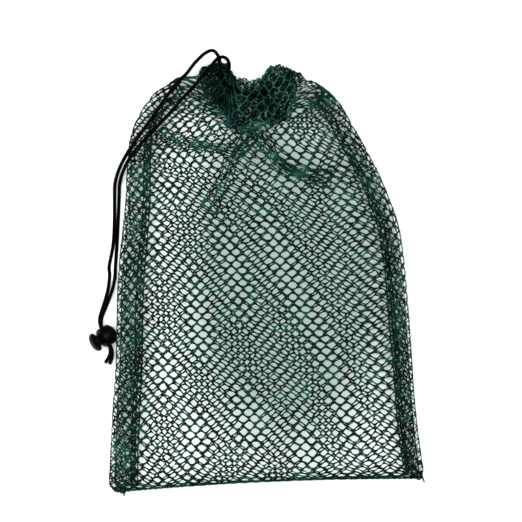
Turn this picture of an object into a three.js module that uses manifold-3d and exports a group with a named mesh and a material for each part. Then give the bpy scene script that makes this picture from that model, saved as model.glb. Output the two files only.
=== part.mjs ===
// A net stuff sack lying on a table, drawn half shut by a cord with a spring lock.
// Millimetres. X runs across the sack, Y from its folded end to its mouth, Z up from the table.
import * as THREE from 'three';
import { mergeVertices } from 'three/addons/utils/BufferGeometryUtils.js';
import Module from 'manifold-3d';

const wasm = await Module();
wasm.setup();

// Net wall: its thickness, the lengthwise lines around it and the pleats at the mouth
const netThickness = 2;
const sideLines = 24;
const lines = 2 * sideLines;
const pleatLines = 4;
const pleatDepth = 5;
const sectionRoundness = 2.8;
const flatUnderside = 0.08;
const normalStep = 0.04;

// Outline of the lying sack, from the folded end to the shoulders: where each cross
// section meets the left and right edges, how far its middle hangs back, its height
// off the table and how much of the pleating has begun there
const sections = [
  { leftX: -121, leftY: -172.5, rightX: 122.5, rightY: -161.5, midY: -164, rise: 6, pleat: 0 },
  { leftX: -126, leftY: -166, rightX: 126, rightY: -156, midY: -158, rise: 10, pleat: 0 },
  { leftX: -125.4, leftY: -153, rightX: 124.7, rightY: -146, midY: -147, rise: 16, pleat: 0 },
  { leftX: -124, leftY: -126, rightX: 121, rightY: -119, midY: -121, rise: 23, pleat: 0 },
  { leftX: -122.4, leftY: -99, rightX: 118.3, rightY: -92, midY: -95, rise: 28, pleat: 0 },
  { leftX: -120.4, leftY: -72, rightX: 116.6, rightY: -65, midY: -69, rise: 30, pleat: 0 },
  { leftX: -119.7, leftY: -45, rightX: 114.6, rightY: -38, midY: -43, rise: 31, pleat: 0 },
  { leftX: -119.1, leftY: -18, rightX: 112.5, rightY: -11, midY: -17, rise: 32, pleat: 0 },
  { leftX: -117.7, leftY: 9, rightX: 110, rightY: 16, midY: 9, rise: 32, pleat: 0 },
  { leftX: -115, leftY: 36, rightX: 105.5, rightY: 42.5, midY: 33, rise: 32, pleat: 0.05 },
  { leftX: -112.3, leftY: 63, rightX: 96, rightY: 69, midY: 56, rise: 32, pleat: 0.12 },
  { leftX: -111, leftY: 90, rightX: 84.5, rightY: 94, midY: 77, rise: 32, pleat: 0.25 },
  { leftX: -107, leftY: 118, rightX: 71, rightY: 118, midY: 96, rise: 33, pleat: 0.4 },
  { leftX: -92, leftY: 144.5, rightX: 56.5, rightY: 142, midY: 111, rise: 34, pleat: 0.6 },
  { leftX: -70, leftY: 160, rightX: 40, rightY: 156, midY: 122, rise: 35, pleat: 0.8 },
];
const lastSection = sections.length - 1;
const mouthRow = lastSection + 1;

// Net gaps: six-sided cells, four lines wide, staggered from one row to the next
const firstGapRow = 2;
const lastGapRow = 10;
const cellLines = 4;
const cellPoint = 0.3;
const gapShare = 0.66;

// Hem: the folded tunnel around the mouth that holds the cord, with a slit for the cord's ends
const hemCentreX = -11;
const hemCentreZ = 19.5;
const hemHalfWidth = 29;
const hemHalfHeight = 11;
const hemHeight = 26;
const hemEndShare = 0.5;
const hemThickness = 1.4;
const hemTunnel = 1.9;
const hemFold = 4;
const hemInnerPleat = 2;
const hemCordDrop = 13;
const saddleY = 158;
const humpRise = 13;
const slitStart = 3;
const slitEnd = 6;
const seamGap = 0.7;

// Side seams: the sewn double edge inside the front wall
const seamThickness = 1.4;
const seamClearance = 1.2;
const seamLines = [2, 2.5, 3];
const seamRows = { from: 2, to: 12 };

// Cord and its spring lock
const cordDiameter = 2.6;
const cordSides = 8;
const lockTurn = 30;
const lockTilt = 22;
const lockAt = new THREE.Vector3(-127.9, -46.8, 9.25);
const cordRise = 0.1;
const barrelRadius = 8;
const barrelFrom = -7;
const barrelTo = 5.5;
const barrelEdge = 1.5;
const barrelFoot = 3;
const barrelEndWall = 1.3;
const boreRadius = 5;
const plungerRadius = 4.7;
const plungerFrom = -1.9;
const buttonFrom = 10.2;
const buttonRadius = 7.8;
const buttonHeight = 4.3;
const buttonDome = [
  { radius: 1, height: 1 / 3 },
  { radius: 0.8, height: 3 / 4 },
  { radius: 0.4, height: 1 },
];
const plungerTravel = 3.5;
const cordLevel = 1.2;
const cordClearance = 0.3;
const cordHoleWidth = 3.6;
const cordHoleHeight = 6.6;
const cutterLength = 32;
const turnSegments = 24;
const weldDistance = 1e-4;

// The cord's two free ends, from the hem to their tips
const overRoute = [
  [-27.6, 151, 29.7], [-31.2, 152.6, 30.8], [-34.6, 157, 32.4], [-36.4, 163.4, 33.6], [-36.8, 170, 34],
  [-38, 176.4, 33.5], [-42.4, 181.8, 32.5], [-49, 179, 32], [-57, 170.4, 33], [-63.4, 162, 35],
  [-69.4, 156, 36], [-78.6, 144.4, 37], [-87.4, 131.6, 36.5], [-96.2, 119.6, 33.4], [-104.8, 108, 28],
  [-112, 97.6, 21], [-117.8, 87, 13.5], [-121.4, 76, 7], [-122, 64, 3], [-122.2, 46, 1.5], [-123.2, 27, 1.5],
  [-126.4, 9, 1.5], [-126.1, 3.45, 1.72], [-126.28, -2.08, 2.36], [-126.92, -7.51, 3.38],
  [-127.95, -12.81, 4.73], [-129.28, -17.98, 6.31], [-130.79, -23.04, 8.04], [-132.33, -28.1, 9.78],
  [-133.54, -33.34, 11.21], [-133.13, -38.77, 11.18], [-130.88, -44.06, 9.46], [-128.32, -50.05, 7.53],
  [-125.92, -55.69, 5.7], [-125.46, -60.26, 3.96], [-127.01, -64.66, 2.27], [-129.6, -68.8, 1.45],
];
const underRoute = [
  [-36.66, 161, 26.84], [-34, 160.9, 28.6], [-31.2, 163.6, 31.6], [-30.8, 169.4, 35.4], [-33.8, 174.4, 38.6],
  [-38.6, 173.2, 40], [-43.6, 167.6, 40], [-51, 159.4, 38.6], [-58.6, 150.4, 38], [-67.4, 141.2, 37.6],
  [-77, 130, 37.2], [-85, 121.6, 36.6], [-93, 113.6, 34.4], [-101.4, 104.6, 30], [-108.4, 96, 24],
  [-114, 86.6, 15], [-117.6, 76, 6.8], [-118.4, 64, 2.2], [-119.2, 46, 1.5], [-120.2, 27, 1.5],
  [-121.4, 9, 1.5], [-121.47, 3.33, 2.31], [-122.08, -2.24, 3.46], [-123.16, -7.68, 4.91],
  [-124.64, -12.95, 6.59], [-126.41, -18.08, 8.43], [-128.36, -23.12, 10.33], [-130.34, -28.17, 12.18],
  [-131.98, -33.44, 13.7], [-131.81, -39.02, 13.7], [-129.56, -44.31, 11.99], [-127, -50.3, 10.05],
  [-124.59, -55.95, 8.22], [-123.68, -60.52, 6.55], [-124.29, -65.13, 4.78], [-126, -69.6, 3.4],
];
const runSteps = 31;
const hemCordSteps = 20;
const hemCordEnd = 0.5;

const netGreen = new THREE.MeshStandardMaterial({ color: 0x17493c, roughness: 0.7, metalness: 0 });
const seamGreen = new THREE.MeshStandardMaterial({ color: 0x0b2a22, roughness: 0.8, metalness: 0 });
const cordBlack = new THREE.MeshStandardMaterial({ color: 0x0b0b0d, roughness: 0.75, metalness: 0 });
const lockBlack = new THREE.MeshStandardMaterial({ color: 0x0e0f12, roughness: 0.35, metalness: 0 });

// Corner points and three-sided faces gathered into one closed skin
class Skin {
  constructor() {
    this.points = [];
    this.faces = [];
  }

  point(place) {
    this.points.push(place.x, place.y, place.z);
    return this.points.length / 3 - 1;
  }

  triangle(a, b, c) {
    if (a !== b && b !== c && c !== a) {
      this.faces.push(a, b, c);
    }
  }

  quad(a, b, c, d) {
    this.triangle(a, b, c);
    this.triangle(a, c, d);
  }

  geometry() {
    const geometry = new THREE.BufferGeometry();
    geometry.setAttribute('position', new THREE.Float32BufferAttribute(this.points, 3));
    geometry.setIndex(this.faces);
    geometry.computeVertexNormals();
    return geometry;
  }
}

const group = new THREE.Group();

function addMesh(name, geometry, material, parent = group) {
  const mesh = new THREE.Mesh(geometry, material);
  mesh.name = name;
  parent.add(mesh);
}

// One half of a rounded oblong loop, from its left end over the top or from its right end below
function halfLoop(below, roundness, place) {
  const points = [];
  for (let i = 0; i <= lines; i += 1) {
    const angle = Math.PI * (1 - i / lines) - (below ? Math.PI : 0);
    const across = Math.cos(angle);
    const up = Math.sin(angle);
    const rounded = (value) => Math.sign(value) * Math.abs(value) ** (2 / roundness);
    points.push(place(rounded(across), rounded(up)));
  }
  return new THREE.CatmullRomCurve3(points);
}

const hemLoop = [false, true].map((below) => halfLoop(below, sectionRoundness, (across, up) => (
  new THREE.Vector3(hemCentreX + hemHalfWidth * across, 0, hemCentreZ + hemHalfHeight * up)
)));

function wrap(line) {
  return ((line % lines) + lines) % lines;
}

function foldWave(line) {
  return 0.5 - 0.5 * Math.cos((2 * Math.PI * line) / pleatLines);
}

// A place on the hem: along the loop, outwards from the tunnel's middle and down from the rim
function hemPoint(line, outwards, drop) {
  const along = wrap(line);
  const half = hemLoop[along < sideLines ? 0 : 1];
  const share = (along % sideLines) / sideLines;
  const place = half.getPointAt(share);
  const tangent = half.getTangentAt(share);
  const reach = (place.x - hemCentreX) / hemHalfWidth;
  const y = saddleY + humpRise * reach * reach - drop * (1 - (1 - hemEndShare) * reach * reach);
  return new THREE.Vector3(place.x - tangent.z * outwards, y, place.z + tangent.x * outwards);
}

const leftEdge = new THREE.CatmullRomCurve3(
  sections.map((row) => new THREE.Vector3(row.leftX, row.leftY, row.rise)),
);
const rightEdge = new THREE.CatmullRomCurve3(
  sections.map((row) => new THREE.Vector3(row.rightX, row.rightY, row.midY)),
);
const sectionLoops = new Map();

function sectionLoop(row) {
  if (!sectionLoops.has(row)) {
    const left = leftEdge.getPoint(row / lastSection);
    const right = rightEdge.getPoint(row / lastSection);
    const hang = (left.y + right.y) / 2 - right.z;
    const rise = left.z;
    const place = (across, up) => new THREE.Vector3(
      (left.x + right.x) / 2 + ((right.x - left.x) / 2) * across,
      (left.y + right.y) / 2 + ((right.y - left.y) / 2) * across - hang * (1 - across * across),
      Math.max(0, rise * (0.5 - flatUnderside / 2 + (0.5 + flatUnderside / 2) * up)),
    );
    sectionLoops.set(row, [false, true].map((below) => halfLoop(below, sectionRoundness, place)));
  }
  return sectionLoops.get(row);
}

// The unpleated wall: rows count the sections, lines go over the front and back underneath
function smoothPoint(row, line) {
  const along = wrap(line);
  const half = along < sideLines ? 0 : 1;
  const share = (along % sideLines) / sideLines;
  const body = sectionLoop(Math.min(row, lastSection))[half].getPointAt(share);
  if (row > lastSection) {
    body.lerp(hemPoint(line, hemTunnel + hemThickness, hemHeight + seamGap), row - lastSection);
  }
  return body;
}

function wallNormal(row, line) {
  const below = Math.max(row - normalStep, 0);
  const above = Math.min(row + normalStep, mouthRow);
  const along = smoothPoint(above, line).sub(smoothPoint(below, line));
  const across = smoothPoint(row, line + normalStep).sub(smoothPoint(row, line - normalStep));
  return across.cross(along).normalize();
}

function pleatShare(row) {
  const below = Math.min(Math.floor(row), lastSection);
  const share = sections[below].pleat;
  const next = below < lastSection ? sections[below + 1].pleat : 1;
  return THREE.MathUtils.lerp(share, next, row - below);
}

// A place in the net wall at a depth inwards from its outer face, never below the table
function netPoint(row, line, depth) {
  const pleat = pleatDepth * pleatShare(row) * foldWave(line);
  const normal = wallNormal(row, line);
  if (row === mouthRow) {
    const edge = hemPoint(line, hemTunnel + hemThickness + pleat, hemHeight + seamGap);
    return edge.addScaledVector(normal, -depth);
  }
  const place = smoothPoint(row, line).addScaledVector(normal, pleat - depth);
  place.z = Math.max(place.z, depth);
  return place;
}

function isCellRow(row) {
  return row >= firstGapRow && row <= lastGapRow;
}

function cellStart(row) {
  return (cellLines / 2) * (row % 2);
}

// A cell that would wrap around one of the sack's side edges is left whole
function isSideCell(start) {
  return (start + cellLines / 2) % sideLines === 0;
}

// Row borders between cells run in points, up between two cells and down into the next
function borderRow(row, line) {
  if (!isCellRow(row) && !isCellRow(row - 1)) {
    return row;
  }
  return row + cellPoint * Math.cos((2 * Math.PI * (line - cellStart(row))) / cellLines);
}

function cellOutline(row, start) {
  const outline = [];
  for (let i = 0; i <= cellLines; i += 1) {
    outline.push({ row: borderRow(row, start + i), line: start + i, border: row });
  }
  for (let i = cellLines; i >= 0; i -= 1) {
    outline.push({ row: borderRow(row + 1, start + i), line: start + i, border: row + 1 });
  }
  return outline;
}

// Which of the gap's six corners each point of a cell's outline is joined to
const gapCorner = [0, 1, 1, 1, 2, 3, 4, 4, 4, 5];
const gapCornerPoints = [0, 2, 4, 5, 7, 9];

// Plain wall from one row up to the next, between two lines
function addPlain({ grid, join }, row, from, to) {
  for (let line = from; line < to; line += 1) {
    const here = wrap(line);
    const next = wrap(line + 1);
    join(grid[row][here], grid[row][next], grid[row + 1][next], grid[row + 1][here]);
  }
}

// One cell: a frame around its gap on both faces, and the gap's own edge between them
function addCell(skin, faces, row, start) {
  const outline = cellOutline(row, start);
  const middle = { row: row + 0.5, line: start + cellLines / 2 };
  const gaps = faces.map(({ depth }) => gapCornerPoints.map((corner) => skin.point(netPoint(
    THREE.MathUtils.lerp(middle.row, outline[corner].row, gapShare),
    THREE.MathUtils.lerp(middle.line, outline[corner].line, gapShare),
    depth,
  ))));
  faces.forEach(({ grid, join }, side) => {
    outline.forEach((from, i) => {
      const to = outline[(i + 1) % outline.length];
      const a = grid[from.border][wrap(from.line)];
      const b = grid[to.border][wrap(to.line)];
      const gapA = gaps[side][gapCorner[i]];
      const gapB = gaps[side][gapCorner[(i + 1) % outline.length]];
      join(a, b, gapB, gapA);
    });
  });
  const [outer, inner] = gaps;
  outer.forEach((corner, i) => {
    const next = (i + 1) % outer.length;
    skin.quad(corner, outer[next], inner[next], inner[i]);
  });
}

function netBody() {
  const skin = new Skin();
  const faces = [
    { depth: 0, firstRow: 0, grid: [], join: (a, b, c, d) => skin.quad(a, b, c, d) },
    { depth: netThickness, firstRow: 1, grid: [], join: (a, b, c, d) => skin.quad(d, c, b, a) },
  ];
  faces.forEach(({ depth, firstRow, grid }) => {
    for (let row = firstRow; row <= mouthRow; row += 1) {
      grid[row] = [];
      for (let line = 0; line < lines; line += 1) {
        grid[row].push(skin.point(netPoint(borderRow(row, line), line, depth)));
      }
    }
  });
  faces.forEach((face) => {
    const edge = face.grid[face.firstRow];
    for (let line = 0; line < sideLines; line += 1) {
      face.join(edge[wrap(-line)], edge[wrap(-line - 1)], edge[line + 1], edge[line]);
    }
    for (let row = face.firstRow; row < mouthRow; row += 1) {
      if (!isCellRow(row)) {
        addPlain(face, row, 0, lines);
      }
    }
  });
  for (let row = firstGapRow; row <= lastGapRow; row += 1) {
    for (let start = cellStart(row); start < lines + cellStart(row); start += cellLines) {
      if (isSideCell(start)) {
        faces.forEach((face) => addPlain(face, row, start, start + cellLines));
      } else {
        addCell(skin, faces, row, start);
      }
    }
  }
  const [outer, inner] = faces.map(({ grid }) => grid[mouthRow]);
  for (let line = 0; line < lines; line += 1) {
    const next = wrap(line + 1);
    skin.quad(outer[line], outer[next], inner[next], inner[line]);
  }
  return skin.geometry();
}

// The hem is a strip folded over the cord: an outer leaf, a rounded rim and an inner leaf
function hemSection(line) {
  const wave = foldWave(line);
  const outer = hemTunnel + hemThickness + pleatDepth * wave;
  const inner = -(hemTunnel + hemThickness + hemInnerPleat * wave);
  const insideFold = hemFold + hemThickness / 2;
  return [
    hemPoint(line, outer, hemHeight), hemPoint(line, outer, hemFold),
    hemPoint(line, outer / 2, 0), hemPoint(line, inner / 2, 0),
    hemPoint(line, inner, hemFold), hemPoint(line, inner, hemHeight),
    hemPoint(line, inner + hemThickness, hemHeight), hemPoint(line, inner + hemThickness, insideFold),
    hemPoint(line, inner / 2, hemThickness), hemPoint(line, outer / 2, hemThickness),
    hemPoint(line, outer - hemThickness, insideFold), hemPoint(line, outer - hemThickness, hemHeight),
  ];
}

// Skins a row of like-sided sections and closes both ends, pairing each section's first half
// with its second
function sweep(sectionList) {
  const skin = new Skin();
  const rings = sectionList.map((section) => section.map((place) => skin.point(place)));
  const size = rings[0].length;
  for (let i = 0; i + 1 < rings.length; i += 1) {
    for (let j = 0; j < size; j += 1) {
      const next = (j + 1) % size;
      skin.quad(rings[i][j], rings[i + 1][j], rings[i + 1][next], rings[i][next]);
    }
  }
  const last = rings[rings.length - 1];
  for (let j = 0; j + 1 < size / 2; j += 1) {
    const facing = size - 1 - j;
    skin.quad(rings[0][j], rings[0][j + 1], rings[0][facing - 1], rings[0][facing]);
    skin.quad(last[facing], last[facing - 1], last[j + 1], last[j]);
  }
  return skin.geometry();
}

function hemCasing() {
  const sectionList = [];
  for (let line = slitEnd; line <= lines + slitStart; line += 1) {
    sectionList.push(hemSection(line));
  }
  return sweep(sectionList);
}

function sideSeam(lineList) {
  const sectionList = [];
  for (let row = seamRows.from; row <= seamRows.to; row += 1) {
    const depth = netThickness + seamClearance;
    const upper = lineList.map((line) => netPoint(row, line, depth));
    const lower = lineList.map((line) => netPoint(row, line, depth + seamThickness));
    sectionList.push([...lower, ...upper.reverse()]);
  }
  return sweep(sectionList);
}

function cordTube(path, steps) {
  const section = new THREE.Shape();
  for (let i = 0; i < cordSides; i += 1) {
    const angle = (2 * Math.PI * i) / cordSides;
    const x = (cordDiameter / 2) * Math.cos(angle);
    const y = (cordDiameter / 2) * Math.sin(angle);
    if (i === 0) {
      section.moveTo(x, y);
    } else {
      section.lineTo(x, y);
    }
  }
  section.closePath();
  return new THREE.ExtrudeGeometry(section, { steps, extrudePath: path, bevelEnabled: false });
}

function routeCurve(route) {
  return new THREE.CatmullRomCurve3(route.map((place) => new THREE.Vector3(...place)));
}

function hemCord() {
  const points = [];
  const from = slitEnd + hemCordEnd;
  const to = lines + slitStart - hemCordEnd;
  for (let i = 0; i <= lines; i += 1) {
    points.push(hemPoint(THREE.MathUtils.lerp(from, to, i / lines), 0, hemCordDrop));
  }
  return cordTube(new THREE.CatmullRomCurve3(points), hemCordSteps);
}

function toManifold(geometry) {
  const bare = geometry.clone();
  bare.deleteAttribute('normal');
  bare.deleteAttribute('uv');
  const merged = mergeVertices(bare, weldDistance);
  return new wasm.Manifold(new wasm.Mesh({
    numProp: 3,
    vertProperties: new Float32Array(merged.attributes.position.array),
    triVerts: new Uint32Array(merged.index.array),
  }));
}

function cut(geometry, cutter) {
  const mesh = toManifold(geometry).subtract(toManifold(cutter)).getMesh();
  const result = new THREE.BufferGeometry();
  result.setAttribute('position', new THREE.Float32BufferAttribute(mesh.vertProperties, 3));
  result.setIndex(Array.from(mesh.triVerts));
  result.computeVertexNormals();
  return result;
}

function turned(profile) {
  return new THREE.LatheGeometry(profile.map(([x, y]) => new THREE.Vector2(x, y)), turnSegments);
}

// Lock barrel: a cup turned about Y with a cross hole for the two cords
function lockBarrel() {
  const cup = turned([
    [0, barrelFrom], [barrelRadius - barrelFoot, barrelFrom], [barrelRadius, barrelFrom + barrelFoot],
    [barrelRadius, barrelTo - barrelEdge], [barrelRadius - barrelEdge / 2, barrelTo],
    [boreRadius, barrelTo], [boreRadius, barrelFrom + barrelEndWall], [0, barrelFrom + barrelEndWall],
  ]);
  const hole = new THREE.BoxGeometry(cutterLength, cordHoleWidth, cordHoleHeight);
  hole.translate(0, cordLevel, 0);
  return cut(cup, hole);
}

// Plunger: a slotted stem under a domed button; the slot is longer than the cords by the travel
function lockPlunger() {
  const dome = buttonDome.map(({ radius, height }) => (
    [buttonRadius * radius, buttonFrom + buttonHeight * height]
  ));
  const stem = turned([
    [0, plungerFrom], [plungerRadius, plungerFrom], [plungerRadius, buttonFrom],
    [buttonRadius, buttonFrom], ...dome, [0, buttonFrom + buttonHeight],
  ]);
  const slotFrom = cordLevel - cordHoleWidth / 2;
  const slotTo = cordLevel + cordDiameter / 2 + plungerTravel + cordClearance;
  const slot = new THREE.BoxGeometry(cutterLength, slotTo - slotFrom, cordHoleHeight);
  slot.translate(0, (slotTo + slotFrom) / 2, 0);
  return cut(stem, slot);
}

// The lock lies on its barrel with the button out to the lower left and a little up
function lockFrame() {
  const turn = THREE.MathUtils.degToRad(lockTurn);
  const tilt = THREE.MathUtils.degToRad(lockTilt);
  const axis = new THREE.Vector3(
    -Math.cos(turn) * Math.cos(tilt),
    -Math.sin(turn) * Math.cos(tilt),
    Math.sin(tilt),
  );
  const along = new THREE.Vector3(0, 1, cordRise);
  along.addScaledVector(axis, -along.dot(axis)).normalize();
  const frame = new THREE.Group();
  const basis = new THREE.Matrix4().makeBasis(along, axis, along.clone().cross(axis));
  frame.quaternion.setFromRotationMatrix(basis);
  frame.position.copy(lockAt);
  return frame;
}

addMesh('net_body', netBody(), netGreen);
addMesh('hem_casing', hemCasing(), netGreen);
addMesh('left_seam', sideSeam(seamLines), seamGreen);
addMesh('right_seam', sideSeam(seamLines.map((line) => sideLines - line).reverse()), seamGreen);
addMesh('cord_in_hem', hemCord(), cordBlack);
addMesh('cord_end_over', cordTube(routeCurve(overRoute), runSteps), cordBlack);
addMesh('cord_end_under', cordTube(routeCurve(underRoute), runSteps), cordBlack);

const lock = lockFrame();
addMesh('lock_barrel', lockBarrel(), lockBlack, lock);
addMesh('lock_plunger', lockPlunger(), lockBlack, lock);
group.add(lock);

export default group;
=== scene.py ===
import math
import bmesh
import bpy
import numpy as np
from mathutils import Matrix, Vector, noise


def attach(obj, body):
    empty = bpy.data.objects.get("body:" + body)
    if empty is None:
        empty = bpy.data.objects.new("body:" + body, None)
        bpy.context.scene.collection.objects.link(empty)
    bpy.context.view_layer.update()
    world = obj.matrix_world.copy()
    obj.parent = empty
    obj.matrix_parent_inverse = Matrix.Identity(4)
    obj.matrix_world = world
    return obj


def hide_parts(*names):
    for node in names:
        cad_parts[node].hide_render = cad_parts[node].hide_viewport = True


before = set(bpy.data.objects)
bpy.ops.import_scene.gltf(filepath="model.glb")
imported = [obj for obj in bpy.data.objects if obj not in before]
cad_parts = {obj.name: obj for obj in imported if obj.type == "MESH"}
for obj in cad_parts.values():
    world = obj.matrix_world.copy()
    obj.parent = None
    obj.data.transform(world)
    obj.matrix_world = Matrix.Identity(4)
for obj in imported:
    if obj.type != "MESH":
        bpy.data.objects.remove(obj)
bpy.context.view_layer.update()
mm = 0.001


def addObject(name, data):
    obj = bpy.data.objects.new(name, data)
    bpy.context.scene.collection.objects.link(obj)
    return obj


def meshFrom(name, bm):
    mesh = bpy.data.meshes.new(name)
    bm.to_mesh(mesh)
    bm.free()
    return addObject(name, mesh)


def readPoints(mesh):
    points = np.empty(len(mesh.vertices) * 3)
    mesh.vertices.foreach_get("co", points)
    return points.reshape(-1, 3)


def writePoints(mesh, points):
    mesh.vertices.foreach_set("co", np.ascontiguousarray(points).ravel())
    mesh.update()


def finalMesh(obj):
    # the mesh that an object's modifiers, or its curve's thickness, come to
    depsgraph = bpy.context.evaluated_depsgraph_get()
    return bpy.data.meshes.new_from_object(obj.evaluated_get(depsgraph))


def bakeModifiers(obj):
    mesh = finalMesh(obj)
    obj.modifiers.clear()
    old = obj.data
    obj.data = mesh
    bpy.data.meshes.remove(old)


def bakedCurve(obj):
    mesh = finalMesh(obj)
    name, curve = obj.name, obj.data
    bpy.data.objects.remove(obj)
    bpy.data.curves.remove(curve)
    return addObject(name, mesh)


def shadeSmooth(obj):
    obj.data.polygons.foreach_set("use_smooth", [True] * len(obj.data.polygons))


def unit(value):
    return min(max(value, 0), 1)


def ease(share):
    return share * share * (3 - 2 * share)


# camera straight above, as in the photograph (m)
cameraSet = {"height": 2.4, "level": 0.018, "middle": (-0.00416, 0.0132), "field": 0.4176, "farthest": 50}


def makeCamera():
    lens = bpy.data.cameras.new("topCamera")
    lens.angle = 2 * math.atan(cameraSet["field"] / 2 / (cameraSet["height"] - cameraSet["level"]))
    lens.clip_end = cameraSet["farthest"]
    cam = addObject("topCamera", lens)
    cam.location = (*cameraSet["middle"], cameraSet["height"])
    bpy.context.scene.camera = cam


makeCamera()
print("camera set")


def newMaterial(name):
    mat = bpy.data.materials.new(name)
    mat.use_nodes = True
    nodes = mat.node_tree.nodes
    return mat, nodes, mat.node_tree.links, nodes["Principled BSDF"]


def addNode(nodes, kind, values=None):
    node = nodes.new("ShaderNode" + kind)
    for key, value in (values or {}).items():
        node.inputs[key].default_value = value
    return node


def ramp(nodes, places, colours):
    node = addNode(nodes, "ValToRGB")
    while len(node.color_ramp.elements) < len(places):
        node.color_ramp.elements.new(0.5)
    for element, at, colour in zip(node.color_ramp.elements, places, colours):
        element.position = at
        element.color = (*colour, 1)
    return node


def addBump(nodes, links, shader, height, look):
    bump = addNode(nodes, "Bump", {"Strength": look["bump"], "Distance": look["bumpDepth"]})
    links.new(height, bump.inputs["Height"])
    links.new(bump.outputs["Normal"], shader.inputs["Normal"])


yarnLook = {
    # patches of darker and lighter yarn: their scale and roughness, and where the three shades lie
    "patch": 60, "patchDetail": 6, "patchRoughness": 0.72, "shadesAt": (0.38, 0.5, 0.66),
    "fibre": 2600, "fibreDetail": 3, "bump": 0.35, "bumpDepth": 0.0002, "roughness": 0.6, "gloss": 0.02,
    # painted shade on the hem: darker towards its left end: from where to where (mm), and how dark
    "hemPaintedShade": (-38, -22, 0.25),
}
# each yarn's dark, middle and light tone; the net's own yarn first, then copies of it with painted shade
# (seam, back, shade) and painted light (hem, edge)
yarnShades = {
    "greenNetYarn": [(0.0007, 0.0065, 0.0047), (0.0024, 0.025, 0.0175), (0.008, 0.08, 0.056)],
    "greenSeamYarnPaintedShade": [(0.0006, 0.004, 0.003), (0.0015, 0.010, 0.0075), (0.004, 0.026, 0.019)],
    "greenBackYarnPaintedShade": [(0.0005, 0.0032, 0.0025), (0.0015, 0.0135, 0.01), (0.007, 0.038, 0.03)],
    "greenYarnPaintedShade": [(0.001, 0.004, 0.003), (0.002, 0.009, 0.007), (0.004, 0.02, 0.015)],
    "greenHemYarnPaintedLight": [(0.004, 0.024, 0.018), (0.011, 0.06, 0.044), (0.026, 0.12, 0.088)],
    "greenEdgeYarnPaintedLight": [(0.003, 0.018, 0.0135), (0.008, 0.05, 0.037), (0.02, 0.11, 0.08)],
}


def yarnMaterial(name, shade=None):
    mat, nodes, links, shader = newMaterial(name)
    coords = addNode(nodes, "TexCoord")
    patches = addNode(nodes, "TexNoise", {"Scale": yarnLook["patch"], "Detail": yarnLook["patchDetail"],
                                          "Roughness": yarnLook["patchRoughness"]})
    links.new(coords.outputs["Object"], patches.inputs["Vector"])
    colours = ramp(nodes, yarnLook["shadesAt"], yarnShades[name])
    links.new(patches.outputs["Fac"], colours.inputs["Fac"])
    links.new(colours.outputs["Color"], shader.inputs["Base Color"])
    # painted shade: the yarn's colour is scaled darker towards low x, the hem's left end
    if shade:
        low, high, least = shade
        split = addNode(nodes, "SeparateXYZ")
        links.new(coords.outputs["Object"], split.inputs["Vector"])
        fade = addNode(nodes, "MapRange", {"From Min": low * mm, "From Max": high * mm, "To Min": least})
        links.new(split.outputs["X"], fade.inputs["Value"])
        dim = addNode(nodes, "VectorMath")
        dim.operation = "SCALE"
        links.new(colours.outputs["Color"], dim.inputs["Vector"])
        links.new(fade.outputs["Result"], dim.inputs["Scale"])
        links.new(dim.outputs["Vector"], shader.inputs["Base Color"])
    fibres = addNode(nodes, "TexNoise", {"Scale": yarnLook["fibre"], "Detail": yarnLook["fibreDetail"]})
    links.new(coords.outputs["Object"], fibres.inputs["Vector"])
    addBump(nodes, links, shader, fibres.outputs["Fac"], yarnLook)
    shader.inputs["Roughness"].default_value = yarnLook["roughness"]
    shader.inputs["Specular IOR Level"].default_value = yarnLook["gloss"]
    return mat


cordLook = {
    "shades": [(0.0003, 0.0003, 0.0004), (0.002, 0.002, 0.0023)], "shadesAt": (0.1, 0.9),
    # the braid's strands: their slant (degrees) and how closely they lie
    "slant": 45, "strands": 6, "bump": 0.6, "bumpDepth": 0.0003, "roughness": 0.6, "gloss": 0.015,
}


def cordMaterial():
    mat, nodes, links, shader = newMaterial("blackBraid")
    coords = addNode(nodes, "TexCoord")
    braid = addNode(nodes, "Math")
    braid.operation = "MULTIPLY"
    for k, turn in enumerate((-1, 1)):
        mapping = addNode(nodes, "Mapping", {"Rotation": (0, 0, turn * math.radians(cordLook["slant"])),
                                             "Scale": (cordLook["strands"],) * 3})
        links.new(coords.outputs["UV"], mapping.inputs["Vector"])
        wave = addNode(nodes, "TexWave", {"Scale": 1})
        links.new(mapping.outputs["Vector"], wave.inputs["Vector"])
        links.new(wave.outputs["Fac"], braid.inputs[k])
    colours = ramp(nodes, cordLook["shadesAt"], cordLook["shades"])
    links.new(braid.outputs["Value"], colours.inputs["Fac"])
    links.new(colours.outputs["Color"], shader.inputs["Base Color"])
    addBump(nodes, links, shader, braid.outputs["Value"], cordLook)
    shader.inputs["Roughness"].default_value = cordLook["roughness"]
    shader.inputs["Specular IOR Level"].default_value = cordLook["gloss"]
    return mat


lockLook = {
    "shades": [(0.0005, 0.0005, 0.0007), (0.0015, 0.0016, 0.002)], "shadesAt": (0.3, 0.75),
    "grain": 900, "grainDetail": 4, "bump": 0.12, "bumpDepth": 0.0001,
    "roughness": (0.22, 0.42), "gloss": 0.022,
}


def lockMaterial():
    mat, nodes, links, shader = newMaterial("blackNylon")
    coords = addNode(nodes, "TexCoord")
    grain = addNode(nodes, "TexNoise", {"Scale": lockLook["grain"], "Detail": lockLook["grainDetail"]})
    links.new(coords.outputs["Object"], grain.inputs["Vector"])
    colours = ramp(nodes, lockLook["shadesAt"], lockLook["shades"])
    links.new(grain.outputs["Fac"], colours.inputs["Fac"])
    links.new(colours.outputs["Color"], shader.inputs["Base Color"])
    smoothest, roughest = lockLook["roughness"]
    rough = addNode(nodes, "MapRange", {"To Min": smoothest, "To Max": roughest})
    links.new(grain.outputs["Fac"], rough.inputs["Value"])
    links.new(rough.outputs["Result"], shader.inputs["Roughness"])
    shader.inputs["Specular IOR Level"].default_value = lockLook["gloss"]
    addBump(nodes, links, shader, grain.outputs["Fac"], lockLook)
    return mat


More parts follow.
